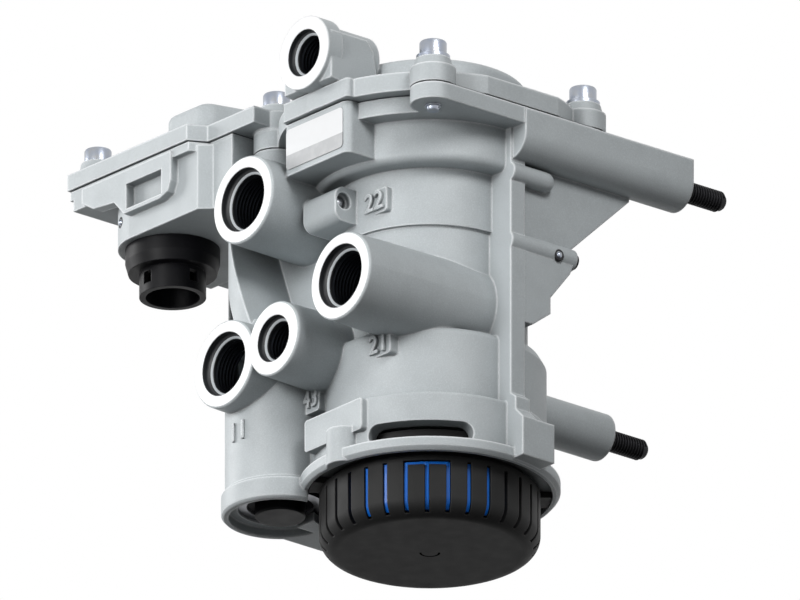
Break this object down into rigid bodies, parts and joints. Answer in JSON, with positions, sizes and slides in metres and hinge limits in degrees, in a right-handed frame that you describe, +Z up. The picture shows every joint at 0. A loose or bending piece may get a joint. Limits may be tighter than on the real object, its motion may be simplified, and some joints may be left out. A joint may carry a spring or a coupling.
{
  "type": "pneumatic brake control valve",
  "caption": "Cast relay brake valve with threaded air ports, an electronics housing with a round connector, a slotted silencer below and mounting studs at the back.",
  "frame": {"origin": "centre of the flat underside of the silencer, on the main valve axis", "axes": "+Z up along the main valve axis; +Y along the mounting studs, away from the ports; +X to the right, away from the electronics housing"},
  "size_m": [0.1889, 0.162, 0.1942],
  "materials": {
    "cast_aluminium": "bare die casting, fine grain, satin",
    "turned_aluminium": "turned, fine rings",
    "black_steel": "phosphated thread",
    "zinc_steel": "zinc plated, bluish",
    "spring_steel": "drawn wire",
    "core_steel": "ground",
    "gasket_sheet": "matt sheet",
    "seal_rubber": "moulded, matt",
    "black_plastic": "moulded, fine texture",
    "blue_plastic": "moulded, smooth",
    "felt": "pressed fibre",
    "blank_label": "printed film with a border, no words",
    "brass_contact": "turned pins",
    "board": "lacquered laminate",
    "coil_copper": "wound enamelled wire"
  },
  "bodies": {
    "valve": {"armature_spring_left": "spring_steel", "armature_spring_middle": "spring_steel", "armature_spring_right": "spring_steel", "circuit_board": "board", "coil_left": "coil_copper", "coil_middle": "coil_copper", "coil_right": "coil_copper", "connector_pins": "brass_contact", "connector_seal": "seal_rubber", "connector_socket": "black_plastic", "core_tube_left": "core_steel", "core_tube_middle": "core_steel", "core_tube_right": "core_steel", "cover_bolts": "zinc_steel", "cover_gasket": "gasket_sheet", "cover_washers": "zinc_steel", "electronics_bolts": "zinc_steel", "electronics_cover": "cast_aluminium", "electronics_gasket": "gasket_sheet", "electronics_housing": "cast_aluminium", "exhaust_guide": "turned_aluminium", "guide_ring": "spring_steel", "guide_seal": "seal_rubber", "lower_stud": "black_steel", "lug_plugs": "black_plastic", "name_label": "blank_label", "pressure_sensors": "black_plastic", "sealing_ball": "spring_steel", "silencer_cap": "black_plastic", "silencer_insert": "blue_plastic", "silencer_packing": "felt", "throttle_spring": "spring_steel", "top_cover": "cast_aluminium", "tower_plug": "black_plastic", "tower_ring": "spring_steel", "tower_seal": "seal_rubber", "upper_stud_left": "black_steel", "upper_stud_right": "black_steel", "valve_body": "cast_aluminium", "valve_spring": "spring_steel", "wing_screws": "zinc_steel"},
    "control_piston": {"control_piston": "turned_aluminium", "control_seal": "seal_rubber"},
    "relay_piston": {"relay_piston": "turned_aluminium", "relay_seal": "seal_rubber"},
    "inlet_valve": {"inlet_valve": "seal_rubber"},
    "throttle_piston": {"throttle_piston": "turned_aluminium", "throttle_seal": "seal_rubber"},
    "armature_left": {"armature_left": "core_steel"},
    "armature_middle": {"armature_middle": "core_steel"},
    "armature_right": {"armature_right": "core_steel"}
  },
  "joints": [
    {"name": "control_piston_slide", "type": "slide", "parent": "valve", "child": "control_piston", "axis": [0, 0, 1], "range_m": [-0.005, 0], "stiffness_N_per_m": 400, "springref_m": 0.006},
    {"name": "relay_piston_slide", "type": "slide", "parent": "valve", "child": "relay_piston", "axis": [0, 0, 1], "range_m": [-0.005, 0], "stiffness_N_per_m": 400, "springref_m": 0.006},
    {"name": "inlet_valve_slide", "type": "slide", "parent": "valve", "child": "inlet_valve", "axis": [0, 0, 1], "range_m": [-0.003, 0], "stiffness_N_per_m": 400, "springref_m": 0.004, "deforming": ["valve_spring"]},
    {"name": "throttle_piston_slide", "type": "slide", "parent": "valve", "child": "throttle_piston", "axis": [0, 0, 1], "range_m": [0, 0.006], "stiffness_N_per_m": 200, "deforming": ["throttle_spring"]},
    {"name": "armature_left_slide", "type": "slide", "parent": "valve", "child": "armature_left", "axis": [0, 0, 1], "range_m": [0, 0.0015], "stiffness_N_per_m": 50, "springref_m": -0.001, "deforming": ["armature_spring_left"]},
    {"name": "armature_middle_slide", "type": "slide", "parent": "valve", "child": "armature_middle", "axis": [0, 0, 1], "range_m": [0, 0.0015], "stiffness_N_per_m": 50, "springref_m": -0.001, "deforming": ["armature_spring_middle"]},
    {"name": "armature_right_slide", "type": "slide", "parent": "valve", "child": "armature_right", "axis": [0, 0, 1], "range_m": [0, 0.0015], "stiffness_N_per_m": 50, "springref_m": -0.001, "deforming": ["armature_spring_right"]}
  ],
  "couplings": [
    {"joint": "inlet_valve_slide", "follows": "relay_piston_slide", "ratio": 0.6}
  ]
}
